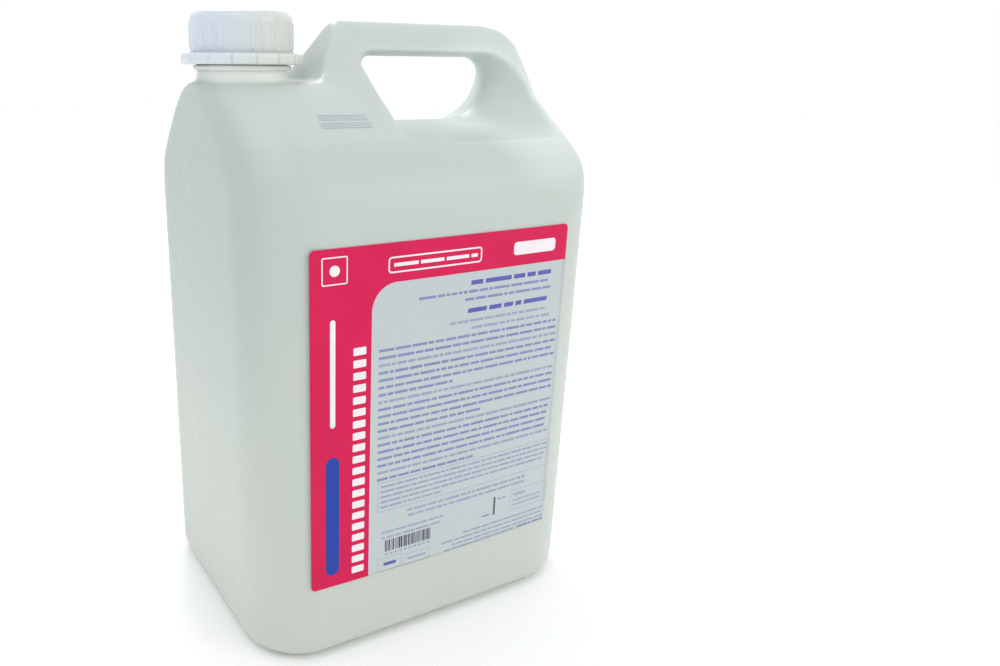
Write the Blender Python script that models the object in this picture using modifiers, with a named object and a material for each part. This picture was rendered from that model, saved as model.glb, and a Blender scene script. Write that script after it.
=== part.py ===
"""Five-litre blow-moulded refill can for hand soap, with a screw cap.

Metres, +Z up.  X runs along the wide face, the label looks along -Y, and the
can stands on Z = 0.  The neck is at the -X end and the carrying handle, which
is hollow and moulded in one piece with the can, fills the rest of the top.
"""
import math

import bpy
import bmesh
import numpy as np
from mathutils import Matrix, Vector

MM = 0.001

# ---------------------------------------------------------------- dimensions
# Can body
HALF_WIDTH = 88.4 * MM
HALF_DEPTH = 68.9 * MM
BODY_X = 0.8 * MM            # body's mid-plane; the cap's band overhangs at -X
WALL = 1.3 * MM
GAP = 0.3 * MM               # clearance between pieces that touch
CORNER_RADIUS = 29.0 * MM
BASE_FILLET = 9.2 * MM
BULGE_LOW = 3.0 * MM         # how far the wide faces belly out near the base
BULGE_HIGH = 1.0 * MM        # and below the shoulder
BULGE_FADE = 22.0 * MM       # height over which the belly dies away at the base
PLATFORM_Z = 249.0 * MM      # flat that carries the neck
HANDLE_TOP = 275.3 * MM

# The can above its straight wall: height, half thickness at the handle, half
# thickness at the neck, and right-hand end
SHOULDER = [
    (200.0, 68.9, 68.9, 88.4), (208.2, 68.0, 68.0, 88.4), (215.2, 65.4, 65.4, 87.8),
    (218.0, 63.2, 63.4, 87.4), (222.6, 58.4, 59.5, 87.0), (227.5, 52.6, 55.0, 86.6),
    (233.6, 44.4, 49.0, 86.3), (240.7, 35.4, 41.0, 86.0), (245.5, 29.0, 34.0, 85.8),
    (247.8, 26.0, 29.0, 85.4), (249.0, 24.4, 25.4, 85.2), (251.2, 21.6, 21.6, 84.9),
    (255.2, 17.0, 17.0, 84.4), (261.0, 12.3, 12.3, 82.4), (266.6, 8.8, 8.8, 79.6),
    (269.3, 7.2, 7.2, 77.0), (271.9, 5.6, 5.6, 73.2), (273.8, 3.8, 3.8, 69.0),
    (274.8, 2.0, 2.0, 62.0),
]
BLEND_X = (-55.0 * MM, -18.0 * MM)   # where the neck end turns into the handle

# Finger hole on the can's mid-plane: corner (x, z) and corner radius
HOLE = [(-13.5, 260.6, 5.6), (64.0, 260.6, 11.7), (63.8, 231.5, 20.0), (5.5, 231.5, 8.0)]
# How the hole opens out towards the faces: distance from the mid-plane, then
# what is added at the top, the left side, the right side and the bottom
HOLE_FLARE = [
    (0.0, 0.0, 0.0, 0.0, 0.0), (4.0, 0.3, 0.7, 1.1, 0.1), (8.0, 1.2, 1.9, 3.1, 0.4),
    (12.0, 2.6, 3.9, 5.5, 0.8), (16.0, 4.5, 5.9, 8.0, 1.3), (22.0, 7.0, 9.0, 11.0, 2.1),
    (32.0, 9.0, 12.6, 15.0, 3.5), (45.0, 9.0, 16.0, 18.5, 5.0), (60.0, 9.0, 21.0, 21.0, 6.4),
    (78.0, 9.0, 25.0, 23.0, 7.4),
]
# Outline, in X and Z, of the notch that clears the neck and cap
NOTCH_FOOT = (-37.8, 249.0)
NOTCH_TOP = (-23.6, 272.0)

# Neck, cap, band and seal
NECK_X = -63.5 * MM
NECK_RADIUS = 19.4 * MM
NECK_FINISH_RADIUS = 18.6 * MM
NECK_BORE = 16.6 * MM
NECK_TOP = 273.8 * MM
BEAD_RADIUS = 20.8 * MM
BEAD_Z = (254.0 * MM, 256.0 * MM)
BAND_RADIUS = 25.8 * MM
BAND_Z = (256.3 * MM, 260.7 * MM)
CAP_RADIUS = 22.0 * MM
CAP_BORE = 19.5 * MM
CAP_Z = (261.0 * MM, 277.2 * MM)
CAP_ROOF = 1.8 * MM
RIB_GROUPS = 6
RIBS_IN_GROUP = 3
RIB_PITCH = math.radians(12.0)
RIB_START = math.radians(-88.0)   # middle rib of the group nearest the label side
RIB_SIZE = (0.9 * MM, 1.1 * MM, 11.6 * MM)
SEAL_RADIUS = 18.9 * MM

# Contents and label
FILL_Z = 227.5 * MM
LABEL_X = (-67.4 * MM, 63.4 * MM)
LABEL_Z = (38.2 * MM, 189.2 * MM)
LABEL_THICKNESS = 0.25 * MM

CORNER_STEPS = 6
LONG_STEPS = 8
SHORT_STEPS = 4
TURN_STEPS = 56

shoulder = np.array(SHOULDER) * MM


# ---------------------------------------------------------------- scene set-up
def clear_scene():
    for obj in list(bpy.data.objects):
        bpy.data.objects.remove(obj, do_unlink=True)
    for coll in list(bpy.data.collections):
        bpy.data.collections.remove(coll)


def new_collection(name):
    coll = bpy.data.collections.new(name)
    bpy.context.scene.collection.children.link(coll)
    return coll


def new_material(name, color, roughness, metallic=0.0):
    mat = bpy.data.materials.new(name)
    mat.use_nodes = True
    shader = mat.node_tree.nodes["Principled BSDF"]
    shader.inputs["Base Color"].default_value = (*color, 1.0)
    shader.inputs["Roughness"].default_value = roughness
    shader.inputs["Metallic"].default_value = metallic
    mat.diffuse_color = (*color, 1.0)
    return mat


def new_object(name, mesh, coll, material=None):
    obj = bpy.data.objects.new(name, mesh)
    coll.objects.link(obj)
    if material is not None:
        mesh.materials.append(material)
    return obj


def new_cutter(name, mesh):
    obj = new_object(name, mesh, cutters)
    obj.hide_render = True
    obj.display_type = "WIRE"
    return obj


def boolean(obj, other, operation):
    mod = obj.modifiers.new(other.name, "BOOLEAN")
    mod.operation = operation
    mod.solver = "EXACT"
    mod.object = other


# ---------------------------------------------------------------- body form
def handle_depth(z):
    return np.interp(z, shoulder[:, 0], shoulder[:, 1], left=HALF_DEPTH)


def neck_depth(z):
    return np.interp(z, shoulder[:, 0], shoulder[:, 2], left=HALF_DEPTH)


def right_end(z):
    return np.interp(z, shoulder[:, 0], shoulder[:, 3], left=HALF_WIDTH)


def lean(profile, z):
    """Stretch that keeps a wall's thickness where the profile leans in."""
    step = 1.5 * MM
    slope = (profile(z + step) - profile(z - step)) / (2.0 * step)
    return min(math.hypot(1.0, slope), 2.6)


def bulge(z):
    grow = min(1.0, max(0.0, z / BULGE_FADE))
    fade = min(1.0, max(0.0, (shoulder[3, 0] - z) / BULGE_FADE))
    share = min(1.0, z / shoulder[0, 0])
    amount = BULGE_LOW + (BULGE_HIGH - BULGE_LOW) * share
    return amount * math.sin(grow * math.pi / 2) * math.sin(fade * math.pi / 2)


def section(z, inset, fillet=0.0):
    """One horizontal outline of the body, drawn in from the outer form."""
    half_right = handle_depth(z) - inset * lean(handle_depth, z) - fillet
    half_left = neck_depth(z) - inset * lean(neck_depth, z) - fillet
    right = right_end(z) - inset * lean(right_end, z) - fillet
    left = -HALF_WIDTH + inset + fillet
    edge = PLATFORM_Z - 2.0 * MM
    if z > edge:
        left += 1.6 * MM * min(1.0, (z - edge) / (2.0 * MM))
    high = min(1.0, max(0.0, (z - shoulder[3, 0]) / (PLATFORM_Z - shoulder[3, 0])))
    corner = CORNER_RADIUS - inset - fillet
    corner_left = min(corner, 0.995 * half_left)
    corner_right = min(corner, half_right * (1.0 - 0.15 * high))
    belly = bulge(z)

    outline = []
    corners = [
        (right - corner_right, half_right - corner_right, corner_right, 0),
        (left + corner_left, half_left - corner_left, corner_left, 90),
        (left + corner_left, corner_left - half_left, corner_left, 180),
        (right - corner_right, corner_right - half_right, corner_right, 270),
    ]
    for index, (cx, cy, radius, start) in enumerate(corners):
        arc = []
        for step in range(CORNER_STEPS + 1):
            angle = math.radians(start + 90.0 * step / CORNER_STEPS)
            arc.append((cx + radius * math.cos(angle), cy + radius * math.sin(angle)))
        outline.extend(arc)
        nx, ny, nradius, nstart = corners[(index + 1) % 4]
        angle = math.radians(nstart)
        target = (nx + nradius * math.cos(angle), ny + nradius * math.sin(angle))
        steps = LONG_STEPS if index % 2 == 0 else SHORT_STEPS
        for step in range(1, steps):
            x = arc[-1][0] + (target[0] - arc[-1][0]) * step / steps
            y = arc[-1][1] + (target[1] - arc[-1][1]) * step / steps
            if index % 2 == 0:
                blend = min(1.0, max(0.0, (x - BLEND_X[0]) / (BLEND_X[1] - BLEND_X[0])))
                blend = blend * blend * (3.0 - 2.0 * blend)
                y = math.copysign(half_left + (half_right - half_left) * blend, y)
            outline.append((x, y))
    points = []
    for x, y in outline:
        swell = belly * max(0.0, 1.0 - (x / HALF_WIDTH) ** 2)
        points.append((x + BODY_X, y + math.copysign(swell, y), z))
    return points


def body_sections(inset, top):
    sections = []
    radius = BASE_FILLET - inset
    for step in range(5):
        angle = math.radians(90.0 * step / 4)
        fillet = radius * (1.0 - math.sin(angle))
        z = inset + radius * (1.0 - math.cos(angle))
        sections.append(section(z, inset, fillet))
    for z in (35.0 * MM, 80.0 * MM, 125.0 * MM, 165.0 * MM):
        sections.append(section(z, inset))
    for z in shoulder[:, 0]:
        if z < top - 0.8 * MM:
            sections.append(section(z, inset))
    sections.append(section(top, inset))
    return sections


def loft(name, sections):
    """Closed mesh through outlines that have the same number of points."""
    bm = bmesh.new()
    rings = []
    for points in sections:
        rings.append([bm.verts.new(p) for p in points])
    count = len(rings[0])
    for low, high in zip(rings, rings[1:]):
        for i in range(count):
            j = (i + 1) % count
            bm.faces.new((low[i], low[j], high[j], high[i]))
    bm.faces.new(list(reversed(rings[0])))
    bm.faces.new(rings[-1])
    bmesh.ops.recalc_face_normals(bm, faces=bm.faces)
    mesh = bpy.data.meshes.new(name)
    bm.to_mesh(mesh)
    bm.free()
    return mesh


def rounded_polygon(corners, steps):
    """Outline of a polygon whose corners are (x, z, radius)."""
    points = []
    count = len(corners)
    for i, (x, z, radius) in enumerate(corners):
        here = Vector((x, z))
        before = (Vector(corners[i - 1][:2]) - here).normalized()
        after = (Vector(corners[(i + 1) % count][:2]) - here).normalized()
        half_angle = before.angle(after) / 2.0
        reach = radius / math.tan(half_angle)
        centre = here + (before + after).normalized() * (radius / math.sin(half_angle))
        start = here + before * reach - centre
        turn = (here + after * reach - centre).angle_signed(start)
        for step in range(steps + 1):
            spoke = start.copy()
            spoke.rotate(Matrix.Rotation(turn * step / steps, 2))
            points.append(centre + spoke)
    return points


def hole_cutter(name, grow):
    """Solid that opens the finger hole, flared towards both faces."""
    stations = [(-row[0], *row[1:]) for row in reversed(HOLE_FLARE[1:])] + HOLE_FLARE
    extra = grow / MM
    sections = []
    for y, top, left, right, low in stations:
        corners = []
        for x, z, radius in HOLE:
            across = -left - 1.2 * extra if x < 30.0 else right + 1.2 * extra
            up = top + extra if z > 245.0 else -low - extra
            corners.append((x + across, z + up, radius + extra))
        outline = rounded_polygon(corners, 5)
        sections.append([(p.x * MM + BODY_X, y * MM, p.y * MM) for p in outline])
    return new_cutter(name, loft(name, sections))


def notch_cutter(name, shift):
    """Prism that clears the neck platform and slopes up the handle's end."""
    extra = shift / MM
    foot_x, foot_z = NOTCH_FOOT
    top_x, top_z = NOTCH_TOP
    fillet = 4.0
    outline = [(-130.0, foot_z - extra), (foot_x - fillet + extra, foot_z - extra)]
    lean_x = (top_x - foot_x) / (top_z - foot_z)
    outline.append((foot_x + extra - 0.6, foot_z + 1.0 - extra))
    outline.append((foot_x + extra + lean_x * fillet, foot_z + fillet - extra))
    outline.append((top_x + extra, top_z))
    outline.append((top_x + extra + 1.6, top_z + 2.0 - 0.4 * extra))
    outline.append((top_x + extra + 4.4, top_z + 3.4 - extra))
    outline.append((top_x + extra + 9.0, top_z + 3.9 - extra))
    outline.append((top_x + extra + 9.0, 300.0))
    outline.append((-130.0, 300.0))
    sections = []
    for y in (-90.0, 90.0):
        sections.append([(x * MM + BODY_X, y * MM, z * MM) for x, z in outline])
    return new_cutter(name, loft(name, sections))


def turned(name, profile, coll, material=None):
    """Solid of revolution about the neck axis, from a top-to-bottom profile."""
    mesh = bpy.data.meshes.new(name)
    verts = [(radius, 0.0, z) for radius, z in profile]
    edges = [(i, i + 1) for i in range(len(verts) - 1)]
    if verts[0][0] > 0.0 and verts[-1][0] > 0.0:
        edges.append((len(verts) - 1, 0))
    mesh.from_pydata(verts, edges, [])
    obj = new_object(name, mesh, coll, material)
    obj.location = (NECK_X, 0.0, 0.0)
    mod = obj.modifiers.new("Screw", "SCREW")
    mod.axis = "Z"
    mod.angle = 2.0 * math.pi
    mod.steps = TURN_STEPS
    mod.render_steps = TURN_STEPS
    mod.use_merge_vertices = True
    mod.merge_threshold = 0.00002
    return obj


# ---------------------------------------------------------------- build
clear_scene()
pack = new_collection("hand_soap_refill_can")
cutters = new_collection("cutters")

hdpe = new_material("natural_hdpe", (0.62, 0.68, 0.65), 0.42)
soap = new_material("soap_lotion", (0.60, 0.67, 0.60), 0.25)
cap_plastic = new_material("cap_plastic", (0.70, 0.74, 0.78), 0.38)
band_plastic = new_material("band_plastic", (0.68, 0.73, 0.78), 0.38)
seal_foam = new_material("seal_foam", (0.85, 0.85, 0.83), 0.80)
film = new_material("label_film", (0.75, 0.05, 0.14), 0.45)

# Neck as a solid and the bore that empties it
neck = turned("neck_form", [
    (0.0, NECK_TOP), (NECK_FINISH_RADIUS - 0.5 * MM, NECK_TOP),
    (NECK_FINISH_RADIUS, NECK_TOP - 0.5 * MM), (NECK_FINISH_RADIUS, 261.4 * MM),
    (NECK_RADIUS, 260.6 * MM), (NECK_RADIUS, BEAD_Z[1]),
    (BEAD_RADIUS, BEAD_Z[1]), (BEAD_RADIUS, BEAD_Z[0] + 0.4 * MM),
    (NECK_RADIUS, BEAD_Z[0]), (NECK_RADIUS, PLATFORM_Z + 2.6 * MM),
    (NECK_RADIUS + 0.8 * MM, PLATFORM_Z + 0.8 * MM),
    (NECK_RADIUS + 2.2 * MM, PLATFORM_Z - 0.4 * MM),
    (NECK_RADIUS + 2.2 * MM, PLATFORM_Z - 0.8 * MM), (0.0, PLATFORM_Z - 0.8 * MM),
], cutters)
neck.hide_render = True
neck.display_type = "WIRE"
bore = turned("neck_bore", [
    (0.0, NECK_TOP + 5.0 * MM), (NECK_BORE, NECK_TOP + 5.0 * MM),
    (NECK_BORE, PLATFORM_Z - 0.5 * MM), (NECK_BORE + 1.4 * MM, PLATFORM_Z - 1.8 * MM),
    (NECK_BORE + 1.4 * MM, PLATFORM_Z - 4.0 * MM), (0.0, PLATFORM_Z - 4.0 * MM),
], cutters)
bore.hide_render = True
bore.display_type = "WIRE"

# Hollow of the can: the same form, one wall thickness further in
hollow = new_cutter("hollow", loft("hollow", body_sections(WALL, HANDLE_TOP - 1.8 * MM)))
boolean(hollow, notch_cutter("hollow_notch", WALL), "DIFFERENCE")
boolean(hollow, hole_cutter("hollow_hole", WALL), "DIFFERENCE")
boolean(hollow, bore, "UNION")

# Can body
body = new_object("can_body", loft("can_body", body_sections(0.0, HANDLE_TOP)), pack, hdpe)
boolean(body, notch_cutter("body_notch", 0.0), "DIFFERENCE")
boolean(body, hole_cutter("finger_hole", 0.0), "DIFFERENCE")
boolean(body, neck, "UNION")
boolean(body, hollow, "DIFFERENCE")

# Contents, filled to a little above the shoulder crease
lotion_inset = WALL + GAP
lotion = new_object("lotion", loft("lotion", body_sections(lotion_inset, FILL_Z)), pack, soap)
boolean(lotion, hole_cutter("lotion_hole", lotion_inset), "DIFFERENCE")

# Band left on the neck when the cap is first opened
turned("tamper_band", [
    (BAND_RADIUS - 0.4 * MM, BAND_Z[1]), (BAND_RADIUS, BAND_Z[1] - 0.4 * MM),
    (BAND_RADIUS, BAND_Z[0] + 0.4 * MM), (BAND_RADIUS - 0.4 * MM, BAND_Z[0]),
    (NECK_RADIUS + 0.5 * MM, BAND_Z[0]), (NECK_RADIUS + 0.5 * MM, BAND_Z[1]),
], pack, band_plastic)

# Sealing wad under the cap's roof
roof = CAP_Z[1] - CAP_ROOF
seal = turned("cap_seal", [
    (0.0, roof - GAP), (SEAL_RADIUS, roof - GAP),
    (SEAL_RADIUS, NECK_TOP + GAP), (0.0, NECK_TOP + GAP),
], pack, seal_foam)

# Screw cap with grouped grip ribs
cap = turned("screw_cap", [
    (0.0, CAP_Z[1]), (CAP_RADIUS - 2.8 * MM, CAP_Z[1]),
    (CAP_RADIUS - 1.4 * MM, CAP_Z[1] - 0.4 * MM), (CAP_RADIUS - 0.4 * MM, CAP_Z[1] - 1.4 * MM),
    (CAP_RADIUS, CAP_Z[1] - 2.8 * MM), (CAP_RADIUS, CAP_Z[0]),
    (CAP_BORE + 0.5 * MM, CAP_Z[0]), (CAP_BORE, CAP_Z[0] + 0.6 * MM),
    (CAP_BORE, roof), (0.0, roof),
], pack, cap_plastic)
ribs = bmesh.new()
for group in range(RIB_GROUPS):
    for index in range(RIBS_IN_GROUP):
        angle = RIB_START + group * 2.0 * math.pi / RIB_GROUPS + (index - 1) * RIB_PITCH
        place = Matrix.Rotation(angle, 4, "Z")
        place @= Matrix.Translation((CAP_RADIUS - 0.1 * MM, 0.0, CAP_Z[0] + 7.2 * MM))
        place @= Matrix.Diagonal((*RIB_SIZE, 1.0))
        bmesh.ops.create_cube(ribs, size=1.0, matrix=place)
rib_mesh = bpy.data.meshes.new("cap_ribs")
ribs.to_mesh(rib_mesh)
ribs.free()
rib_cutter = new_cutter("cap_ribs", rib_mesh)
rib_cutter.location = (NECK_X, 0.0, 0.0)
boolean(cap, rib_cutter, "UNION")

# Label film, just proud of the bellied front face
label_bm = bmesh.new()
columns, rows = 14, 12
grid = []
for row in range(rows + 1):
    z = LABEL_Z[0] + (LABEL_Z[1] - LABEL_Z[0]) * row / rows
    line = []
    for column in range(columns + 1):
        x = LABEL_X[0] + (LABEL_X[1] - LABEL_X[0]) * column / columns
        belly = bulge(z) * (1.0 - ((x - BODY_X) / HALF_WIDTH) ** 2)
        line.append(label_bm.verts.new((x, -handle_depth(z) - belly - GAP, z)))
    grid.append(line)
for row in range(rows):
    for column in range(columns):
        label_bm.faces.new((grid[row][column], grid[row][column + 1],
                            grid[row + 1][column + 1], grid[row + 1][column]))
label_mesh = bpy.data.meshes.new("front_label")
label_bm.to_mesh(label_mesh)
label_bm.free()
label = new_object("front_label", label_mesh, pack, film)
thick = label.modifiers.new("Solidify", "SOLIDIFY")
thick.thickness = LABEL_THICKNESS
thick.offset = 1.0
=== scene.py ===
"""Looks of the five-litre hand soap refill can: natural blow-moulded can, ribbed cap and printed film label.

Lengths are in metres unless a name or comment says millimetres.  The can's form is rebuilt here at a finer
pitch than the solid model it stands for, on the same driving dimensions.
"""

import math
import random

import bmesh
import bpy
import numpy as np
from mathutils import Matrix, Vector
from mathutils.bvhtree import BVHTree


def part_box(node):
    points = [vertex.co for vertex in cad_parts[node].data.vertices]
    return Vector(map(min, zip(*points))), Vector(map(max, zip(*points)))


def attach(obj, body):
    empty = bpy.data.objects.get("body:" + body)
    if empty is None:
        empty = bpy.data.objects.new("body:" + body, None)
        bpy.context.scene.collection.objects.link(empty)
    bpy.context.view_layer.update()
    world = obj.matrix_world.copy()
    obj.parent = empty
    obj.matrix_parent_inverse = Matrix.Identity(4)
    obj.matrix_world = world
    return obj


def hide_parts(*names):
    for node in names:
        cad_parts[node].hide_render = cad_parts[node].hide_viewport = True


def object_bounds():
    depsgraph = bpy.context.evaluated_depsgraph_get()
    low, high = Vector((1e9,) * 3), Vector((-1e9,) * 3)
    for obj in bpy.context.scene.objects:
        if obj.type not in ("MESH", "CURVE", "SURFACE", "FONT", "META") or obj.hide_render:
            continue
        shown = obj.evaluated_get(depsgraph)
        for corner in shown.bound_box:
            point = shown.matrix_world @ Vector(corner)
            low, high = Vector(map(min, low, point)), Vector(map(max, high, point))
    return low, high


MM = 0.001
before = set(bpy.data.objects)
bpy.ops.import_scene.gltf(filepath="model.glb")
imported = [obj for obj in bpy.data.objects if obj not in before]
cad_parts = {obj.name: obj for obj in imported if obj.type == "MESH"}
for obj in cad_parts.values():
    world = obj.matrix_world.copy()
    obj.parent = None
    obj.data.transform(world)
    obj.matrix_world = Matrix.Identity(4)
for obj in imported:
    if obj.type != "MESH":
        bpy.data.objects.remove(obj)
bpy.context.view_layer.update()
random.seed(11)

# ------------------------------------------------------------------ dimensions taken from the frame
can_low, can_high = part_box("can_body")
cap_low, cap_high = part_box("screw_cap")
band_low, band_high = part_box("tamper_band")
label_low, label_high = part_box("front_label")
fill_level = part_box("lotion")[1].z
BODY_X = (can_low.x + can_high.x) / 2.0
HALF_WIDTH = (can_high.x - can_low.x) / 2.0
HANDLE_TOP = can_high.z
NECK_X = (cap_low.x + cap_high.x) / 2.0
RIB_HEIGHT = 0.45 * MM
CAP_RADIUS = (cap_high.x - cap_low.x) / 2.0 - RIB_HEIGHT
BAND_RADIUS = (band_high.y - band_low.y) / 2.0

# ------------------------------------------------------------------ driving dimensions of the can
CORNER_RADIUS = 29.0 * MM
BASE_FILLET = 9.2 * MM
BULGE_LOW, BULGE_HIGH, BULGE_FADE = 3.0 * MM, 1.0 * MM, 22.0 * MM
CREASE_Z = 215.2 * MM
PLATFORM_Z = 249.0 * MM
SHOULDER = np.array([      # height, half thickness at the handle, at the neck, right-hand end (mm)
    (200.0, 68.9, 68.9, 88.4), (208.2, 68.0, 68.0, 88.4), (215.2, 65.4, 65.4, 87.8),
    (218.0, 63.2, 63.4, 87.4), (222.6, 58.4, 59.5, 87.0), (227.5, 52.6, 55.0, 86.6),
    (233.6, 44.4, 49.0, 86.3), (240.7, 35.4, 41.0, 86.0), (245.5, 29.0, 34.0, 85.8),
    (247.8, 26.0, 29.0, 85.4), (249.0, 24.4, 25.4, 85.2), (251.2, 21.6, 21.6, 84.9),
    (255.2, 17.0, 17.0, 84.4), (261.0, 12.3, 12.3, 82.4), (266.6, 8.8, 8.8, 79.6),
    (269.3, 7.2, 7.2, 77.0), (271.9, 5.6, 5.6, 73.2), (273.8, 3.8, 3.8, 69.0), (274.8, 2.0, 2.0, 62.0),
]) * MM
BLEND_X = (-55.0 * MM, -18.0 * MM)
# Finger hole: corner x, z and radius, then how it flares at a distance from the mid-plane (mm)
HOLE = [(-13.5, 260.6, 5.6), (64.0, 260.6, 11.7), (63.8, 231.5, 20.0), (5.5, 231.5, 8.0)]
HOLE_FLARE = np.array([    # distance, top, left, right, bottom
    (0.0, 0.0, 0.0, 0.0, 0.0), (4.0, 0.3, 0.7, 1.1, 0.1), (8.0, 1.2, 1.9, 3.1, 0.4),
    (12.0, 2.6, 3.9, 5.5, 0.8), (16.0, 4.5, 5.9, 8.0, 1.3), (22.0, 7.0, 9.0, 11.0, 2.1),
    (32.0, 9.0, 12.6, 15.0, 3.5), (45.0, 9.0, 16.0, 18.5, 5.0), (60.0, 9.0, 21.0, 21.0, 6.4),
    (78.0, 9.0, 25.0, 23.0, 7.4),
])
NOTCH_FOOT, NOTCH_TOP = (-37.8, 249.0), (-23.9, 271.4)
NECK_RADIUS, FINISH_RADIUS, BORE_RADIUS = 19.4 * MM, 18.6 * MM, 16.6 * MM
BEAD_RADIUS, BEAD_Z = 20.8 * MM, (254.0 * MM, 256.0 * MM)
NECK_TOP = 273.8 * MM
THREAD_PITCH, THREAD_DEPTH = 4.0 * MM, 0.65 * MM
THREAD_Z, THREAD_FADE = (258.2 * MM, 272.4 * MM), 1.6 * MM
CAP_BORE, CAP_ROOF = 19.5 * MM, 1.8 * MM
RIB_GROUPS, RIBS_IN_GROUP, RIB_PITCH = 6, 3, 12.0
RIB_START = -88.0           # direction of one group's middle rib, degrees from +X
HOLE_GLOW = (58.0 * MM, 240.0 * MM, 14.0 * MM, 40.0 * MM)   # x, z, full and zero radius of the lit patch
VOXEL = 1.15 * MM
CAN_TRIANGLES = 188_000


# ------------------------------------------------------------------ camera
def make_camera():
    yaw, pitch, roll = math.radians(28.61), math.radians(17.80), math.radians(0.40)
    ahead = Vector((math.sin(yaw) * math.cos(pitch), math.cos(yaw) * math.cos(pitch), -math.sin(pitch)))
    right = Vector((math.cos(yaw), -math.sin(yaw), 0.0))
    up = right.cross(ahead)
    right, up = (right * math.cos(roll) + up * math.sin(roll), up * math.cos(roll) - right * math.sin(roll))
    data = bpy.data.cameras.new("camera")
    data.lens, data.sensor_width = 29.14, 36.0
    data.shift_x, data.shift_y = 0.1585, -0.0048
    data.clip_start = 0.01
    cam = bpy.data.objects.new("camera", data)
    bpy.context.scene.collection.objects.link(cam)
    turn = Matrix((right, up, -ahead)).transposed()
    cam.matrix_world = Matrix.Translation((-0.1994, -0.3390, 0.2551)) @ turn.to_4x4()
    bpy.context.scene.camera = cam


make_camera()


# ------------------------------------------------------------------ shading helpers
def srgb(r, g, b):
    def channel(v):
        v /= 255.0
        return v / 12.92 if v <= 0.04045 else ((v + 0.055) / 1.055) ** 2.4
    return (channel(r), channel(g), channel(b), 1.0)


class Shade:
    """A Principled material and short calls for the nodes that feed it."""

    def __init__(self, name, roughness=0.4, **sockets):
        self.material = bpy.data.materials.new(name)
        self.material.use_nodes = True
        self.tree = self.material.node_tree
        self.shader = self.tree.nodes["Principled BSDF"]
        self.shader.inputs["Roughness"].default_value = roughness
        for key, value in sockets.items():
            self.shader.inputs[key.replace("_", " ")].default_value = value
        self.place = self.add("ShaderNodeTexCoord").outputs["Object"]

    def add(self, kind, **settings):
        node = self.tree.nodes.new(kind)
        for key, value in settings.items():
            setattr(node, key, value)
        return node

    def link(self, a, b):
        self.tree.links.new(a, b)

    def noise(self, scale, detail=2.0, rough=0.5, stretch=None):
        node = self.add("ShaderNodeTexNoise")
        node.inputs["Scale"].default_value = scale
        node.inputs["Detail"].default_value = detail
        node.inputs["Roughness"].default_value = rough
        source = self.place
        if stretch is not None:
            mapping = self.add("ShaderNodeMapping")
            mapping.inputs["Scale"].default_value = stretch
            self.link(source, mapping.inputs["Vector"])
            source = mapping.outputs["Vector"]
        self.link(source, node.inputs["Vector"])
        return node.outputs["Fac"]

    def remap(self, value, low, high, out_low, out_high, smooth=False):
        node = self.add("ShaderNodeMapRange")
        if smooth:
            node.interpolation_type = "SMOOTHSTEP"
        for key, number in zip(("From Min", "From Max", "To Min", "To Max"), (low, high, out_low, out_high)):
            node.inputs[key].default_value = number
        self.link(value, node.inputs["Value"])
        return node.outputs["Result"]

    def math(self, operation, a, b=None):
        node = self.add("ShaderNodeMath", operation=operation)
        for socket, value in zip(node.inputs, (a, b)):
            if value is None:
                continue
            if isinstance(value, (int, float)):
                socket.default_value = value
            else:
                self.link(value, socket)
        return node.outputs[0]

    def mix(self, factor, a, b):
        node = self.add("ShaderNodeMix", data_type="RGBA")
        self.link(factor, node.inputs["Factor"])
        for socket, value in ((node.inputs[6], a), (node.inputs[7], b)):
            if isinstance(value, tuple):
                socket.default_value = value
            else:
                self.link(value, socket)
        return node.outputs[2]

    def axis(self, name):
        if not hasattr(self, "split"):
            self.split = self.add("ShaderNodeSeparateXYZ")
            self.link(self.place, self.split.inputs["Vector"])
        return self.split.outputs[name]

    def colour(self, value):
        self.link(value, self.shader.inputs["Base Color"])

    def roughness(self, value):
        self.link(value, self.shader.inputs["Roughness"])

    def bump(self, *layers):
        """Layers are (height, distance in metres, strength)."""
        normal = None
        for height, distance, strength in layers:
            node = self.add("ShaderNodeBump")
            node.inputs["Distance"].default_value = distance
            node.inputs["Strength"].default_value = strength
            self.link(height, node.inputs["Height"])
            if normal is not None:
                self.link(normal, node.inputs["Normal"])
            normal = node.outputs["Normal"]
        self.link(normal, self.shader.inputs["Normal"])


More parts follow.
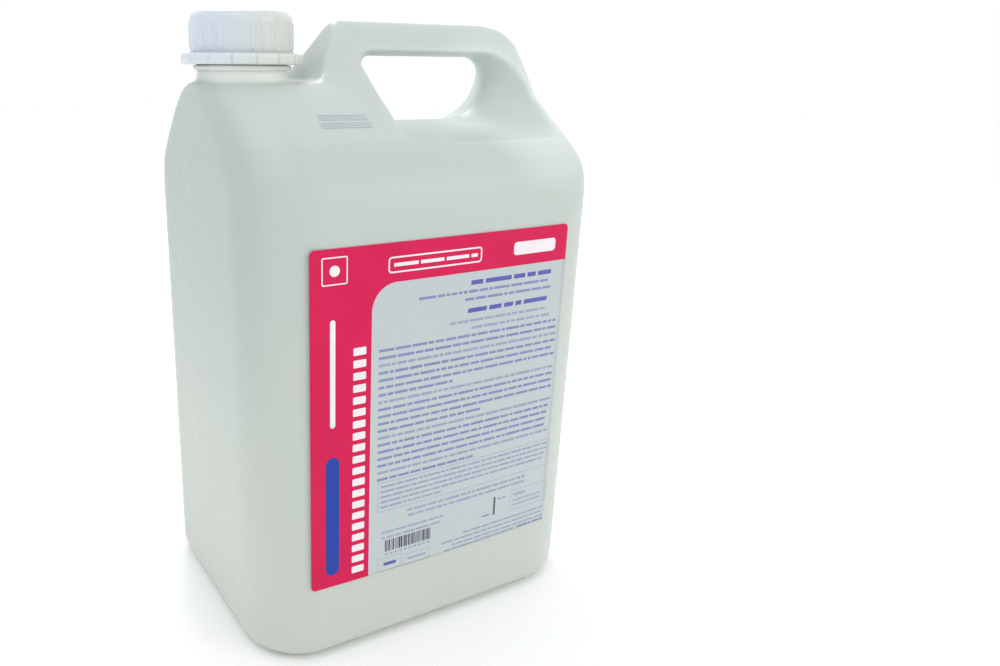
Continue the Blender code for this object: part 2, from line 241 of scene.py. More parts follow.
def hdpe_shade(name, low, below, above, level, band, translucency=0.6):
    """Natural polyethylene: the contents tint it up to the level and the empty top is paler.  Painted light
    pales the wall towards the bottom and lifts it round the neck and beside the finger hole, where light
    comes through;
    painted shade darkens the left end towards the top."""
    s = Shade(name, Subsurface_Weight=translucency, Subsurface_Scale=0.005, IOR=1.50)
    s.shader.inputs["Subsurface Radius"].default_value = (1.0, 1.0, 1.0)
    height = s.axis("Z")
    # painted light: the wall pales from the crease down to the bottom
    wall = s.mix(s.remap(height, 0.03, CREASE_Z, 0.0, 1.0, smooth=True), low, below)
    wobble = s.remap(s.noise(14.0), 0.3, 0.7, -0.0012, 0.0012)
    over = s.remap(s.math("ADD", height, wobble), level - band, level + band, 0.0, 1.0, smooth=True)
    tint = s.mix(over, wall, above)
    cloud = s.remap(s.noise(16.0, 3.0, 0.55, (1.0, 1.0, 0.55)), 0.35, 0.68, 0.0, 0.30)
    tint = s.mix(cloud, tint, tuple(min(1.0, c * f) for c, f in zip(below, (0.94, 1.0, 1.04))) + (1.0,))
    # painted light: a paler ring round the neck on the platform, standing in for light coming through the
    # neck
    across = s.math("SUBTRACT", s.axis("X"), NECK_X)
    reach = s.math("ADD", s.math("MULTIPLY", across, across), s.math("MULTIPLY", s.axis("Y"), s.axis("Y")))
    near = s.remap(s.math("SQRT", reach), NECK_RADIUS + 1.0 * MM, NECK_RADIUS + 5.0 * MM, 1.0, 0.0,
                   smooth=True)
    raised = s.remap(height, PLATFORM_Z - 1.5 * MM, PLATFORM_Z + 1.5 * MM, 0.0, 1.0, smooth=True)
    tint = s.mix(s.math("MULTIPLY", near, raised), tint, srgb(242, 247, 240))
    # painted light: a paler patch beside the finger hole, standing in for light coming through the handle
    side = s.math("SUBTRACT", s.axis("X"), HOLE_GLOW[0] + BODY_X)
    rise = s.math("SUBTRACT", height, HOLE_GLOW[1])
    reach = s.math("ADD", s.math("MULTIPLY", side, side), s.math("MULTIPLY", rise, rise))
    hole_light = s.remap(s.math("SQRT", reach), HOLE_GLOW[2], HOLE_GLOW[3], 1.0, 0.0, smooth=True)
    # painted shade: the left end darkens towards the top
    left_end = BODY_X - HALF_WIDTH
    left_wall = s.remap(s.axis("X"), left_end, left_end + 0.35 * CORNER_RADIUS, 1.0, 0.0, smooth=True)
    shaded = s.math("MULTIPLY", left_wall, s.remap(height, 0.08, 0.20, 0.0, 0.8, smooth=True))
    tint = s.mix(shaded, tint, srgb(172, 184, 181))
    s.colour(s.mix(hole_light, tint, srgb(206, 214, 211)))
    s.roughness(s.remap(s.noise(180.0, 3.0), 0.3, 0.7, 0.36, 0.47))
    seam = s.remap(s.math("ABSOLUTE", s.axis("Y")), 0.0, 0.0005, 1.0, 0.0, smooth=True)
    s.bump((s.noise(26.0, 1.0), 0.0011, 0.22), (s.noise(900.0, 2.0), 0.00010, 0.30), (seam, 0.00016, 0.5))
    return s.material


def plastic_shade(name, colour, second, scale=30.0, rough=(0.30, 0.42), sss=0.3, grain=600.0, side_light_tint=None):
    """Moulded part: mottled between two colours, and shifting to a painted reflection of the handle beside
    it from one side to the other.
    """
    s = Shade(name, Subsurface_Weight=sss, Subsurface_Scale=0.004, IOR=1.50)
    s.shader.inputs["Subsurface Radius"].default_value = (1.0, 1.0, 1.0)
    tint = s.mix(s.remap(s.noise(scale, 3.0), 0.32, 0.68, 0.0, 1.0), colour, second)
    if side_light_tint is not None:
        # painted reflection: the side towards the handle takes the handle's greyish tint
        across = s.math("SUBTRACT", s.axis("X"), s.math("MULTIPLY", s.axis("Y"), 0.55))
        turned = s.remap(across, NECK_X - 0.6 * CAP_RADIUS, NECK_X + CAP_RADIUS, 0.0, 1.0, smooth=True)
        tint = s.mix(turned, tint, side_light_tint)
    s.colour(tint)
    s.roughness(s.remap(s.noise(220.0, 2.0), 0.3, 0.7, *rough))
    s.bump((s.noise(60.0, 1.0), 0.0003, 0.08), (s.noise(grain, 2.0), 0.00005, 0.15))
    return s.material


def ink_shade(name, colour, second, rough=0.42, grain=1400.0):
    """Printed ink on film: nearly even, with a faint mottle and the film's slight waviness."""
    s = Shade(name, IOR=1.45, Specular_IOR_Level=0.22)
    s.colour(s.mix(s.remap(s.noise(55.0, 4.0, 0.6), 0.35, 0.65, 0.0, 1.0), colour, second))
    s.roughness(s.remap(s.noise(160.0), 0.3, 0.7, rough - 0.05, rough + 0.07))
    s.bump((s.noise(40.0, 1.0), 0.0005, 0.12), (s.noise(grain, 2.0), 0.00004, 0.25))
    return s.material


# ------------------------------------------------------------------ form of the can
def monotone(xs, ys):
    """Smooth curve through a table that never overshoots it."""
    gaps = np.diff(xs)
    rises = np.diff(ys) / gaps
    slopes = np.zeros(len(ys))
    slopes[0], slopes[-1] = rises[0], rises[-1]
    for i in range(1, len(ys) - 1):
        if rises[i - 1] * rises[i] > 0.0:
            slopes[i] = 2.0 * rises[i - 1] * rises[i] / (rises[i - 1] + rises[i])

    def value(x):
        x = min(max(x, xs[0]), xs[-1])
        i = min(int(np.searchsorted(xs, x, side="right")) - 1, len(gaps) - 1)
        t = (x - xs[i]) / gaps[i]
        a, b = (2 * t ** 3 - 3 * t ** 2 + 1) * ys[i], (t ** 3 - 2 * t ** 2 + t) * gaps[i] * slopes[i]
        c, d = (3 * t ** 2 - 2 * t ** 3) * ys[i + 1], (t ** 3 - t ** 2) * gaps[i] * slopes[i + 1]
        return float(a + b + c + d)
    return value


handle_depth = monotone(SHOULDER[:, 0], SHOULDER[:, 1])
neck_depth = monotone(SHOULDER[:, 0], SHOULDER[:, 2])
right_end = monotone(SHOULDER[:, 0], SHOULDER[:, 3])
flare = [monotone(HOLE_FLARE[:, 0], HOLE_FLARE[:, k]) for k in range(1, 5)]


def bulge(z):
    grow = min(1.0, max(0.0, z / BULGE_FADE))
    fade = min(1.0, max(0.0, (CREASE_Z - z) / BULGE_FADE))
    amount = BULGE_LOW + (BULGE_HIGH - BULGE_LOW) * min(1.0, z / SHOULDER[0, 0])
    return amount * math.sin(grow * math.pi / 2) * math.sin(fade * math.pi / 2)


def front_y(x, z):
    """The front wall's y at x from the mid-plane and height z."""
    return -handle_depth(z) - bulge(z) * max(0.0, 1.0 - (x / HALF_WIDTH) ** 2)


def section(z, fillet=0.0, corner_steps=14, long_steps=34, short_steps=10):
    half_right, half_left = handle_depth(z) - fillet, neck_depth(z) - fillet
    right, left = right_end(z) - fillet, -HALF_WIDTH + fillet
    edge = PLATFORM_Z - 2.0 * MM
    if z > edge:
        left += 1.6 * MM * min(1.0, (z - edge) / (2.0 * MM))
    high = min(1.0, max(0.0, (z - CREASE_Z) / (PLATFORM_Z - CREASE_Z)))
    corner = CORNER_RADIUS - fillet
    corner_left = min(corner, 0.995 * half_left)
    corner_right = min(corner, half_right * (1.0 - 0.15 * high))
    corners = [
        (right - corner_right, half_right - corner_right, corner_right, 0),
        (left + corner_left, half_left - corner_left, corner_left, 90),
        (left + corner_left, corner_left - half_left, corner_left, 180),
        (right - corner_right, corner_right - half_right, corner_right, 270),
    ]
    outline = []
    for index, (cx, cy, radius, start) in enumerate(corners):
        for step in range(corner_steps + 1):
            angle = math.radians(start + 90.0 * step / corner_steps)
            outline.append((cx + radius * math.cos(angle), cy + radius * math.sin(angle)))
        here = outline[-1]
        nx, ny, nradius, nstart = corners[(index + 1) % 4]
        angle = math.radians(nstart)
        target = (nx + nradius * math.cos(angle), ny + nradius * math.sin(angle))
        steps = long_steps if index % 2 == 0 else short_steps
        for step in range(1, steps):
            x = here[0] + (target[0] - here[0]) * step / steps
            y = here[1] + (target[1] - here[1]) * step / steps
            if index % 2 == 0:
                blend = min(1.0, max(0.0, (x - BLEND_X[0]) / (BLEND_X[1] - BLEND_X[0])))
                blend = blend * blend * (3.0 - 2.0 * blend)
                y = math.copysign(half_left + (half_right - half_left) * blend, y)
            outline.append((x, y))
    belly = bulge(z)
    return [(x + BODY_X, y + math.copysign(belly * max(0.0, 1.0 - (x / HALF_WIDTH) ** 2), y), z)
            for x, y in outline]


def loft(name, sections):
    bm = bmesh.new()
    rings = [[bm.verts.new(p) for p in points] for points in sections]
    for low, high in zip(rings, rings[1:]):
        for i in range(len(low)):
            j = (i + 1) % len(low)
            bm.faces.new((low[i], low[j], high[j], high[i]))
    bm.faces.new(list(reversed(rings[0])))
    bm.faces.new(rings[-1])
    bmesh.ops.recalc_face_normals(bm, faces=bm.faces)
    return to_object(name, bm)


def to_object(name, bm, material=None, smooth=True):
    mesh = bpy.data.meshes.new(name)
    bm.to_mesh(mesh)
    bm.free()
    if smooth:
        mesh.polygons.foreach_set("use_smooth", [True] * len(mesh.polygons))
    obj = bpy.data.objects.new(name, mesh)
    bpy.context.scene.collection.objects.link(obj)
    if material is not None:
        mesh.materials.append(material)
    return obj


def rounded_polygon(corners, steps):
    """Outline of a polygon whose corners are (x, z, radius)."""
    points = []
    for i, (x, z, radius) in enumerate(corners):
        here = Vector((x, z))
        if radius <= 0.0:
            points.append(here)
            continue
        before = (Vector(corners[i - 1][:2]) - here).normalized()
        after = (Vector(corners[(i + 1) % len(corners)][:2]) - here).normalized()
        half_angle = before.angle(after) / 2.0
        centre = here + (before + after).normalized() * (radius / math.sin(half_angle))
        start = here + before * (radius / math.tan(half_angle)) - centre
        turn = (here + after * (radius / math.tan(half_angle)) - centre).angle_signed(start)
        for step in range(steps + 1):
            spoke = start.copy()
            spoke.rotate(Matrix.Rotation(turn * step / steps, 2))
            points.append(centre + spoke)
    return points


def hole_solid():
    sections = []
    coarse_left, fine = np.arange(-78.0, -24.0, 6.0), np.arange(-24.0, 24.1, 1.5)
    for y in np.concatenate((coarse_left, fine, np.arange(30.0, 78.1, 6.0))):
        top, left, right, low = (curve(abs(y)) for curve in flare)
        corners = []
        for x, z, radius in HOLE:
            corners.append((x + (-left if x < 30.0 else right), z + (top if z > 245.0 else -low), radius))
        sections.append([(p.x * MM + BODY_X, y * MM, p.y * MM) for p in rounded_polygon(corners, 14)])
    return loft("hole_form", sections)


def notch_solid():
    (foot_x, foot_z), (top_x, top_z) = NOTCH_FOOT, NOTCH_TOP
    lean = (top_x - foot_x) / (top_z - foot_z)
    outline = [(-130.0, foot_z), (foot_x - 4.0, foot_z), (foot_x - 0.6, foot_z + 1.0),
               (foot_x + lean * 4.0, foot_z + 4.0), (top_x, top_z), (top_x + 1.5, top_z + 2.2),
               (top_x + 3.4, top_z + 3.6), (top_x + 6.0, top_z + 4.1), (top_x + 6.0, 300.0), (-130.0, 300.0)]
    return loft("notch_form", [[(x * MM + BODY_X, y * MM, z * MM) for x, z in outline]
                               for y in (-90.0, 90.0)])


def revolve(name, profile, segments, offset=None, material=None):
    """Closed turned solid about the neck axis; profile runs from axis to axis, or is a loop if it never
    reaches the axis.  offset(angle, radius, z) moves points outwards."""
    bm = bmesh.new()
    rings = []
    for radius, z in profile:
        if radius <= 0.0:
            rings.append([bm.verts.new((NECK_X, 0.0, z))])
            continue
        ring = []
        for k in range(segments):
            angle = 2.0 * math.pi * k / segments
            r = radius + (offset(angle, radius, z) if offset else 0.0)
            ring.append(bm.verts.new((NECK_X + r * math.cos(angle), r * math.sin(angle), z)))
        rings.append(ring)
    pairs = list(zip(rings, rings[1:]))
    if len(rings[0]) > 1:
        pairs.append((rings[-1], rings[0]))
    for a, b in pairs:
        for k in range(segments):
            j = (k + 1) % segments
            if len(a) == 1:
                bm.faces.new((a[0], b[j], b[k]))
            elif len(b) == 1:
                bm.faces.new((a[k], a[j], b[0]))
            else:
                bm.faces.new((a[k], a[j], b[j], b[k]))
    bmesh.ops.recalc_face_normals(bm, faces=bm.faces)
    return to_object(name, bm, material)


def evaluated(obj, name):
    """A plain mesh object holding obj with its modifiers applied; obj itself goes away."""
    graph = bpy.context.evaluated_depsgraph_get()
    mesh = bpy.data.meshes.new_from_object(obj.evaluated_get(graph))
    mesh.name = name
    materials = list(obj.data.materials)
    bpy.data.objects.remove(obj, do_unlink=True)
    result = bpy.data.objects.new(name, mesh)
    bpy.context.scene.collection.objects.link(result)
    if not mesh.materials:
        for material in materials:
            mesh.materials.append(material)
    return result


def build_can(material):
    steps = [math.radians(90.0 * k / 10) for k in range(11)]
    sections = [section(BASE_FILLET * (1.0 - math.cos(a)), BASE_FILLET * (1.0 - math.sin(a))) for a in steps]
    heights = list(np.arange(16.0 * MM, 200.0 * MM, 6.0 * MM))
    heights += list(np.arange(200.0 * MM, SHOULDER[-1, 0], 1.3 * MM))
    sections += [section(z) for z in heights] + [section(SHOULDER[-1, 0]), section(HANDLE_TOP)]
    body = loft("can_form", sections)
    collar = revolve("collar_form", [
        (0.0, BEAD_Z[0] + 1.0 * MM), (NECK_RADIUS, BEAD_Z[0] + 1.0 * MM),
        (NECK_RADIUS, PLATFORM_Z + 1.0 * MM),
        (NECK_RADIUS + 0.4 * MM, PLATFORM_Z - 0.2 * MM), (NECK_RADIUS + 0.4 * MM, PLATFORM_Z - 3.0 * MM),
        (0.0, PLATFORM_Z - 3.0 * MM)], 96)
    well = revolve("well_form", [
        (0.0, NECK_TOP), (BORE_RADIUS + 0.3 * MM, NECK_TOP), (BORE_RADIUS + 0.3 * MM, fill_level + 9.0 * MM),
        (BORE_RADIUS - 2.0 * MM, fill_level + 6.0 * MM), (0.0, fill_level + 6.0 * MM)], 64)
    tools = [(notch_solid(), "DIFFERENCE"), (hole_solid(), "DIFFERENCE"), (collar, "UNION"),
             (well, "DIFFERENCE")]
    for tool, operation in tools:
        mod = body.modifiers.new(tool.name, "BOOLEAN")
        mod.operation, mod.solver, mod.object = operation, "EXACT", tool
    remesh = body.modifiers.new("fine_skin", "REMESH")
    remesh.mode, remesh.voxel_size, remesh.use_smooth_shade = "VOXEL", VOXEL, True
    smooth = body.modifiers.new("soften", "SMOOTH")
    smooth.factor, smooth.iterations = 0.5, 10
    body = evaluated(body, "can_shell")
    for tool, _ in tools:
        bpy.data.objects.remove(tool, do_unlink=True)
    walls = body.vertex_groups.new(name="walls")
    top = CREASE_Z - 14.0 * MM
    walls.add([v.index for v in body.data.vertices if v.co.z < top], 1.0, "REPLACE")
    count = sum(len(p.vertices) - 2 for p in body.data.polygons)
    thin = body.modifiers.new("thin_out", "DECIMATE")
    thin.ratio, thin.vertex_group = min(1.0, CAN_TRIANGLES / count), "walls"
    body = evaluated(body, "can_shell")
    body.data.polygons.foreach_set("use_smooth", [True] * len(body.data.polygons))
    body.data.materials.append(material)
    return body


can_plastic = hdpe_shade("can_plastic", srgb(194, 200, 191), srgb(187, 194, 189), srgb(192, 199, 196),
                         fill_level - 0.5 * MM, 2.4 * MM)
can = build_can(can_plastic)
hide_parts("can_body")
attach(can, "can")


# ------------------------------------------------------------------ neck with its bead and thread
def thread(angle, radius, z):
    if abs(radius - FINISH_RADIUS) > 1e-6 or not THREAD_Z[0] < z < THREAD_Z[1]:
        return 0.0
    turns = ((z - 258.5 * MM) / THREAD_PITCH - angle / (2.0 * math.pi)) % 1.0
    ends = min(1.0, (z - THREAD_Z[0]) / THREAD_FADE, (THREAD_Z[1] - z) / THREAD_FADE)
    return THREAD_DEPTH * ends * max(0.0, math.cos((turns - 0.5) * 2.0 * math.pi)) ** 1.5


neck_profile = [(BORE_RADIUS, BEAD_Z[0] - 0.2 * MM), (NECK_RADIUS, BEAD_Z[0] - 0.2 * MM),
                (NECK_RADIUS + 0.5 * MM, BEAD_Z[0]), (BEAD_RADIUS - 0.2 * MM, BEAD_Z[0] + 0.5 * MM),
                (BEAD_RADIUS, BEAD_Z[0] + 0.8 * MM), (BEAD_RADIUS, BEAD_Z[1] - 0.3 * MM),
                (BEAD_RADIUS - 0.3 * MM, BEAD_Z[1]), (NECK_RADIUS, BEAD_Z[1]),
                (FINISH_RADIUS, BEAD_Z[1] + 1.0 * MM)]
neck_profile += [(FINISH_RADIUS, z) for z in np.arange(258.0 * MM, 272.7 * MM, 0.35 * MM)]
neck_profile += [(FINISH_RADIUS, NECK_TOP - 0.7 * MM), (FINISH_RADIUS - 0.2 * MM, NECK_TOP - 0.2 * MM),
                 (FINISH_RADIUS - 0.7 * MM, NECK_TOP), (BORE_RADIUS + 0.4 * MM, NECK_TOP),
                 (BORE_RADIUS, NECK_TOP - 0.4 * MM)]
neck = revolve("neck_finish", neck_profile, 128, thread, can_plastic)
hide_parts("can_body")
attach(neck, "can")


# ------------------------------------------------------------------ cap with grouped grip ribs
def ribs(angle, radius, z):
    if abs(radius - CAP_RADIUS) > 0.15 * MM:
        return 0.0
    foot, head = cap_low.z + 1.2 * MM, cap_high.z - 3.9 * MM
    ends = min(1.0, max(0.0, (z - foot) / (0.5 * MM)), max(0.0, (head - z) / (0.9 * MM)))
    group = 360.0 / RIB_GROUPS
    turn = (math.degrees(angle) - RIB_START + group / 2.0) % group - group / 2.0
    outer = RIBS_IN_GROUP // 2
    nearest = max(-outer, min(outer, round(turn / RIB_PITCH)))
    away = abs(turn - nearest * RIB_PITCH) * math.radians(1.0) * CAP_RADIUS
    return 0.0 if away > 0.8 * MM else RIB_HEIGHT * ends * math.cos(away / (0.8 * MM) * math.pi / 2) ** 0.8


RIM = 4.0 * MM              # radius of the cap's top edge
cap_profile = [(0.0, cap_high.z - 0.5 * MM), (CAP_RADIUS - 7.6 * MM, cap_high.z - 0.45 * MM),
               (CAP_RADIUS - 6.0 * MM, cap_high.z - 0.15 * MM), (CAP_RADIUS - 5.0 * MM, cap_high.z)]
for k in range(9):
    a = math.radians(90.0 * k / 8)
    cap_profile.append((CAP_RADIUS - RIM * (1.0 - math.sin(a)), cap_high.z - RIM * (1.0 - math.cos(a))))
cap_profile += [(CAP_RADIUS, z)
                for z in np.arange(cap_high.z - RIM - 0.3 * MM, cap_low.z + 0.5 * MM, -0.4 * MM)]
cap_profile += [(CAP_RADIUS, cap_low.z + 0.15 * MM), (CAP_RADIUS - 0.12 * MM, cap_low.z),
                (CAP_BORE + 0.5 * MM, cap_low.z), (CAP_BORE, cap_low.z + 0.6 * MM),
                (CAP_BORE, cap_high.z - CAP_ROOF - 0.5 * MM), (CAP_BORE - 0.5 * MM, cap_high.z - CAP_ROOF),
                (0.0, cap_high.z - CAP_ROOF)]
# the cap's greyish side tint is a painted reflection of the handle beside it
cap_plastic = plastic_shade("cap_moulding", srgb(202, 211, 221), srgb(200, 209, 219),
                            rough=(0.24, 0.28), sss=0.25, side_light_tint=srgb(200, 205, 199))
cap = revolve("ribbed_cap", cap_profile, 720, ribs, cap_plastic)
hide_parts("screw_cap")
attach(cap, "cap")


# ------------------------------------------------------------------ tamper band with its wedge teeth
def teeth(angle, radius, z):
    if radius < BAND_RADIUS - 0.9 * MM:
        return 0.0
    turn = (math.degrees(angle) + 101.0) % 22.5
    wedge = turn / 3.2 if turn < 3.2 else 0.0
    return -0.75 * MM * wedge


low, high = band_low.z, band_high.z
band_profile = [(NECK_RADIUS + 0.5 * MM, low), (BAND_RADIUS - 0.7 * MM, low),
                (BAND_RADIUS - 0.2 * MM, low + 0.2 * MM),
                (BAND_RADIUS, low + 0.7 * MM), (BAND_RADIUS, high - 1.2 * MM),
                (BAND_RADIUS - 0.25 * MM, high - 0.4 * MM), (BAND_RADIUS - 0.8 * MM, high - 0.05 * MM),
                (CAP_RADIUS + 0.6 * MM, high), (CAP_RADIUS + 0.4 * MM, high + 0.55 * MM),
                (CAP_RADIUS + 0.2 * MM, high + 0.55 * MM), (CAP_RADIUS + 0.15 * MM, high + 0.2 * MM),
                (NECK_RADIUS + 0.8 * MM, high + 0.2 * MM), (NECK_RADIUS + 0.5 * MM, high)]
# the band's greyish side tint is a painted reflection of the handle beside it
band_plastic = plastic_shade("band_moulding", srgb(206, 214, 222), srgb(203, 211, 220),
                             rough=(0.26, 0.30), sss=0.25, side_light_tint=srgb(203, 208, 200))
band = revolve("tamper_ring", band_profile, 450, teeth, band_plastic)
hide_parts("tamper_band")
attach(band, "can")


# ------------------------------------------------------------------ label film and its print (x, z in mm)
def wrap(bm, lift, x_step=6.0, z_step=6.0):
    """Cuts flat shapes in the XZ plane into small faces and lays them on the bellied front wall."""
    bm.normal_update()
    bmesh.ops.triangulate(bm, faces=bm.faces[:])
    for axis, step in ((0, x_step), (2, z_step)):
        low = min(v.co[axis] for v in bm.verts)
        high = max(v.co[axis] for v in bm.verts)
        normal = Vector((1, 0, 0)) if axis == 0 else Vector((0, 0, 1))
        for k in range(math.floor(low / step) + 1, math.ceil(high / step)):
            bmesh.ops.bisect_plane(bm, geom=bm.verts[:] + bm.edges[:] + bm.faces[:], dist=1e-6,
                                   plane_co=normal * (k * step), plane_no=normal)
    for v in bm.verts:
        x, z = v.co.x * MM, v.co.z * MM
        v.co = Vector((x + BODY_X, front_y(x, z) - lift, z))
    bmesh.ops.recalc_face_normals(bm, faces=bm.faces)
    if sum(f.normal.y for f in bm.faces) > 0.0:
        bmesh.ops.reverse_faces(bm, faces=bm.faces[:])


def add_outline(bm, points):
    bm.faces.new([bm.verts.new((p[0], 0.0, p[1])) for p in points])


def bar(x0, z0, x1, z1, radius=0.0, steps=4):
    radius = min(radius, abs(x1 - x0) / 2.001, abs(z1 - z0) / 2.001)
    return rounded_polygon([(x0, z0, radius), (x1, z0, radius), (x1, z1, radius), (x0, z1, radius)], steps)


def add_ring(bm, x0, z0, x1, z1, radius, stroke, steps=5):
    """Outline frame: a rounded rectangle with a rounded rectangle taken out of it."""
    outer = bar(x0, z0, x1, z1, radius, steps)
    inner_radius = max(radius - stroke, 0.15)
    inner = bar(x0 + stroke, z0 + stroke, x1 - stroke, z1 - stroke, inner_radius, steps)
    outer_verts = [bm.verts.new((p[0], 0.0, p[1])) for p in outer]
    inner_verts = [bm.verts.new((p[0], 0.0, p[1])) for p in inner]
    for i in range(len(outer_verts)):
        j = (i + 1) % len(outer_verts)
        bm.faces.new((outer_verts[i], outer_verts[j], inner_verts[j], inner_verts[i]))


def printed(name, bm, lift, material):
    wrap(bm, lift)
    obj = to_object(name, bm, material)
    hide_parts("front_label")
    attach(obj, "can")
    return obj


def bars(bm, x0, x1, base, height, pitch, slant=0.0):
    """A line of stand-in print: plain solid bars of random length, with no shape inside them."""
    x = x0
    while x < x1 - 2.0 * pitch:
        end = min(x + random.randint(2, 9) * pitch, x1)
        lean = slant * height
        points = ((x, base), (end, base), (end + lean, base + height), (x + lean, base + height))
        bm.faces.new([bm.verts.new((px, 0.0, pz)) for px, pz in points])
        x = end + 0.85 * pitch


FILM_LIFT, INK_LIFT, OVER_LIFT = 0.16 * MM, 0.19 * MM, 0.22 * MM
LEFT, RIGHT = (label_low.x - BODY_X) / MM + 0.6, (label_high.x - BODY_X) / MM + 0.3
BOTTOM, TOP = label_low.z / MM, label_high.z / MM
COLUMN_RIGHT, BAND_BOTTOM = -39.6, 172.8
TEXT_LEFT, TEXT_RIGHT = -36.0, 60.8
FIRST_LINE, LAST_LINE, LINES = 144.2, 84.9, 19
SHORT_LINES = {6: 2.0, 11: 18.0, 18: 15.5}      # where the last line of each paragraph ends

# painted light: the film pales towards the bottom, as the can's wall does
clear = hdpe_shade("clear_film", srgb(186, 193, 194), srgb(179, 187, 190), srgb(188, 196, 196),
                   level=0.4, band=0.002, translucency=0.0)
film_bm = bmesh.new()
add_outline(film_bm, bar(LEFT, BOTTOM, RIGHT, TOP, 2.6, 8))
wrap(film_bm, FILM_LIFT)
film = to_object("label_film", film_bm, clear)
thick = film.modifiers.new("thickness", "SOLIDIFY")
thick.thickness, thick.offset = 0.1 * MM, -1.0
film = evaluated(film, "label_film")
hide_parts("front_label")
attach(film, "can")

pink = ink_shade("pink_ink", srgb(205, 22, 80), srgb(199, 18, 75))
white = ink_shade("white_ink", srgb(236, 228, 232), srgb(226, 219, 224))
blue = ink_shade("blue_ink", srgb(32, 68, 158), srgb(40, 62, 150))
text = ink_shade("text_ink", srgb(122, 130, 174), srgb(132, 140, 180))
dark = ink_shade("dark_ink", srgb(60, 58, 78), srgb(72, 70, 92))
faint = ink_shade("faint_ink", srgb(144, 152, 178), srgb(152, 160, 184))

pink_bm = bmesh.new()
add_outline(pink_bm, rounded_polygon([
    (LEFT, BOTTOM, 2.4), (COLUMN_RIGHT, BOTTOM, 0.0), (COLUMN_RIGHT, BAND_BOTTOM, 11.5),
    (RIGHT, BAND_BOTTOM, 0.0), (RIGHT, TOP, 2.4), (LEFT, TOP, 2.4)], 12))
printed("pink_panel", pink_bm, INK_LIFT, pink)

# White print on the pink: a disc in a frame, a capsule with a line of bars, a plain bar at the right
white_bm = bmesh.new()
add_ring(white_bm, -62.3, 174.6, -50.8, 185.9, 0.9, 0.55)
add_outline(white_bm, bar(-58.8, 178.0, -54.3, 182.5, 2.25, 8))
add_ring(white_bm, -32.3, 176.6, 14.5, 183.4, 1.6, 0.7)
bars(white_bm, -29.6, 12.2, 179.2, 1.5, 1.3)
add_outline(white_bm, bar(32.0, 177.6, 56.0, 183.4, 1.6))


def block_run(bm, z0, z1, x0, x1, count):
    """Even run of identical solid blocks up the column, all of one size and one gap."""
    pitch = (z1 - z0) / count
    for k in range(count):
        add_outline(bm, bar(x0, z0 + k * pitch, x1, z0 + (k + 0.62) * pitch, 0.5))


# Up the column: a plain white stripe, an even run of white blocks, and one plain blue bar
add_outline(white_bm, bar(-58.6, 114.0, -56.2, 160.5, 1.2, 6))
block_run(white_bm, 42.0, 149.4, -48.0, -42.0, 20)
printed("white_print", white_bm, OVER_LIFT, white)

blue_bm = bmesh.new()
add_outline(blue_bm, bar(-60.6, 44.0, -54.2, 100.6, 3.1, 8))
printed("blue_print", blue_bm, OVER_LIFT, blue)

# Bars in place of lines of text on the clear field
title_bm = bmesh.new()
bars(title_bm, 9.6, 54.8, 167.0, 2.0, 1.6)
bars(title_bm, 8.3, 55.2, 154.6, 2.0, 1.7, slant=0.22)
text_bm, faint_bm, dark_bm = bmesh.new(), bmesh.new(), bmesh.new()
bars(text_bm, -17.2, 55.0, 163.6, 1.15, 0.95)
bars(text_bm, 6.7, 55.1, 160.2, 1.15, 0.95)
bars(faint_bm, -0.9, 55.6, 150.4, 1.15, 1.0, slant=0.2)
bars(faint_bm, 10.8, 55.7, 147.0, 1.15, 1.0, slant=0.2)
line_pitch = (FIRST_LINE - LAST_LINE) / (LINES - 1)
for line in range(LINES):
    base = FIRST_LINE - line * line_pitch - 0.6
    end = SHORT_LINES.get(line, TEXT_RIGHT)
    target = text_bm if line % 5 != 2 else faint_bm
    bars(target, TEXT_LEFT, end, base, 1.2, 0.92, slant=0.1)
for x1, base in ((61.5, 80.6), (61.5, 78.1), (61.5, 75.6), (61.0, 73.1), (-2.0, 70.6)):
    bars(faint_bm, -34.0, x1, base, 0.95, 0.8)
add_ring(faint_bm, -35.4, 68.9, 63.4, 83.2, 0.3, 0.22)
bars(faint_bm, -20.0, 48.5, 65.7, 1.1, 0.95, slant=0.1)
bars(faint_bm, -19.5, 48.6, 63.0, 1.1, 0.95, slant=0.1)
bars(faint_bm, -33.0, 1.8, 57.6, 0.9, 0.8)
bars(faint_bm, -32.9, -1.4, 54.9, 0.9, 0.8)
add_ring(faint_bm, 40.3, 49.3, 64.0, 60.3, 0.4, 0.2)
bars(faint_bm, 42.5, 50.0, 57.0, 1.2, 1.0)
for base in (54.0, 51.6):
    bars(faint_bm, 42.0, 61.0, base, 0.8, 0.8)
for x0, x1, base in ((11.8, 62.4, 45.6), (-0.2, 62.6, 43.2), (6.0, 62.8, 40.8), (1.6, 45.0, 38.6)):
    bars(faint_bm, x0, x1, base - 0.4, 0.85, 0.82)
bars(text_bm, 46.0, 63.0, 38.2, 0.95, 0.85)

# Slim bar, striped block with random stripes, row of even blocks and two small boxes
add_outline(dark_bm, bar(29.8, 50.0, 30.8, 59.6, 0.4))
bars(text_bm, 32.4, 37.0, 57.6, 0.7, 0.9)
bars(text_bm, 23.0, 27.6, 50.6, 0.7, 0.9)
x = -31.2
while x < -6.6:
    wide = random.choice((0.28, 0.28, 0.5, 0.75))
    add_outline(dark_bm, ((x, 48.1), (x + wide, 48.1), (x + wide, 53.9), (x, 53.9)))
    x += wide + random.choice((0.3, 0.3, 0.55))
for k in range(10):
    add_outline(faint_bm, bar(-31.2 + k * 2.5, 46.3, -29.6 + k * 2.5, 47.1, 0.2))
add_ring(faint_bm, -34.7, 38.3, -22.2, 45.0, 0.25, 0.2)
add_ring(faint_bm, -21.0, 38.0, -7.1, 43.9, 0.25, 0.2)
add_outline(title_bm, bar(-31.8, 40.9, -25.2, 42.5, 0.5))
bars(faint_bm, -19.0, -8.8, 40.6, 0.9, 1.1)
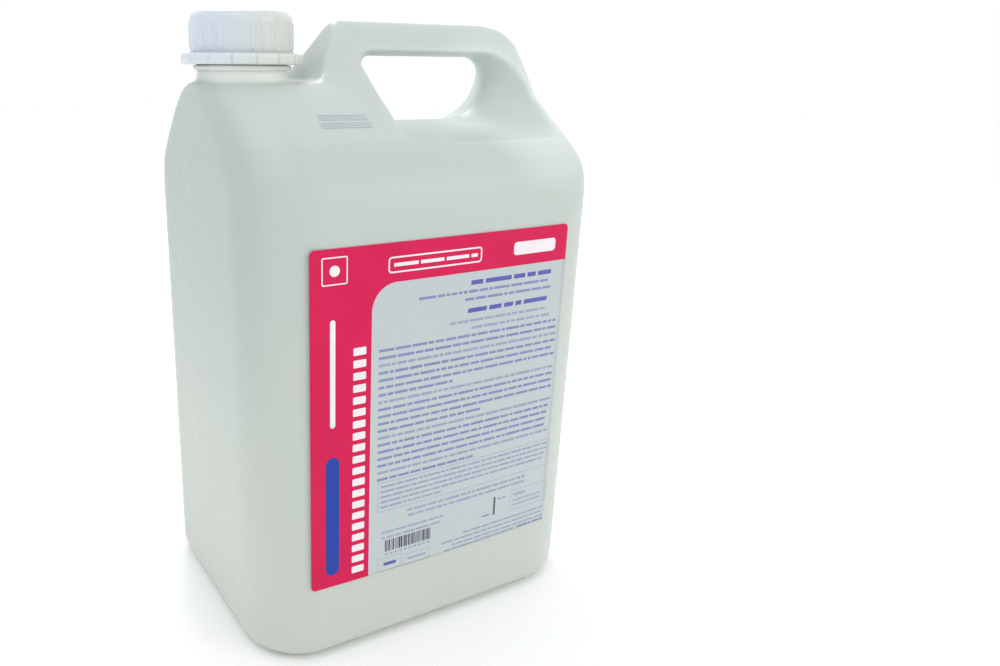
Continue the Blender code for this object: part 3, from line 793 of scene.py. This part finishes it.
printed("title_print", title_bm, INK_LIFT, ink_shade("title_ink", srgb(84, 88, 164), srgb(94, 98, 170)))
printed("text_print", text_bm, INK_LIFT, text)
printed("fine_print", faint_bm, INK_LIFT, faint)
printed("dark_print", dark_bm, INK_LIFT, dark)


# ------------------------------------------------------------------ even rows of dots on the shoulder
def shoulder_mark():
    """Two even rows of identical dots, level on the sloping shoulder by the neck."""
    tree = BVHTree.FromObject(can, bpy.context.evaluated_depsgraph_get())
    bm = bmesh.new()
    size, pitch = 0.25 * MM, 0.80
    for start, count, foot, fall in ((-51.4, 31, 235.6, -0.5), (-51.4, 31, 232.7, -0.4)):
        for col in range(count):
            for line in range(3):
                x = start + col * pitch
                z = foot + line * pitch + fall * col / count
                hit, normal, _, _ = tree.ray_cast(Vector((x * MM + BODY_X, -0.2, z * MM)), Vector((0, 1, 0)))
                if hit is None:
                    continue
                side = normal.cross(Vector((0, 0, 1))).normalized()
                rise = side.cross(normal).normalized()
                centre = hit + normal * 0.04 * MM
                ring = [centre + (side * math.cos(a) + rise * math.sin(a)) * size
                        for a in (math.pi / 3 * k for k in range(6))]
                face = bm.faces.new([bm.verts.new(p) for p in ring])
                face.normal_update()
                if face.normal.dot(normal) < 0.0:
                    face.normal_flip()
    mark = to_object("dot_rows", bm, ink_shade("dot_ink", srgb(118, 126, 162), srgb(134, 140, 170)))
    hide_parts("can_body")
    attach(mark, "can")


shoulder_mark()

# ------------------------------------------------------------------ carried-over solids
soap = plastic_shade("soap_liquid", srgb(206, 214, 196), srgb(196, 208, 192), 12.0, (0.12, 0.2), 0.4)
foam = plastic_shade("wad_foam", srgb(232, 231, 224), srgb(220, 219, 212), 90.0, (0.75, 0.9), 0.1, 1500.0)
for node, material in (("lotion", soap), ("cap_seal", foam)):
    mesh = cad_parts[node].data
    mesh.materials.clear()
    mesh.materials.append(material)


# ------------------------------------------------------------------ floor, light
def make_stage():
    bm = bmesh.new()
    bmesh.ops.create_circle(bm, cap_ends=True, segments=96, radius=6.0)
    s = Shade("pale_floor", IOR=1.3)
    s.colour(s.mix(s.remap(s.noise(3.0), 0.3, 0.7, 0.0, 1.0), srgb(255, 255, 254), srgb(254, 254, 254)))
    s.roughness(s.remap(s.noise(40.0), 0.3, 0.7, 0.75, 0.85))
    floor = to_object("floor", bm, s.material, smooth=False)
    floor.location.z = min(0.0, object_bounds()[0].z) - 0.0002

    world = bpy.data.worlds.new("soft_room")
    bpy.context.scene.world = world
    world.use_nodes = True
    world.node_tree.nodes["Background"].inputs["Color"].default_value = (0.985, 0.995, 1.0, 1.0)
    world.node_tree.nodes["Background"].inputs["Strength"].default_value = 1.015

    def soft_light(name, place, size, watts, colour):
        data = bpy.data.lights.new(name, "AREA")
        data.shape, data.size, data.energy, data.color = "DISK", size, watts, colour
        lamp = bpy.data.objects.new(name, data)
        bpy.context.scene.collection.objects.link(lamp)
        lamp.location = place
        lamp.rotation_euler = (Vector((0.0, 0.0, 0.14)) - Vector(place)).to_track_quat("-Z", "Y").to_euler()

    soft_light("key", (-0.50, -0.45, 1.5), 0.28, 1.8, (0.86, 0.93, 1.0))
    soft_light("fill", (0.9, -1.3, 0.8), 0.9, 3.6, (1.0, 0.97, 0.90))
    soft_light("back", (0.25, 1.0, 1.15), 0.35, 4.5, (1.0, 1.0, 1.0))
    bpy.context.scene.view_settings.view_transform = "Standard"
    bpy.context.scene.view_settings.look = "None"


make_stage()
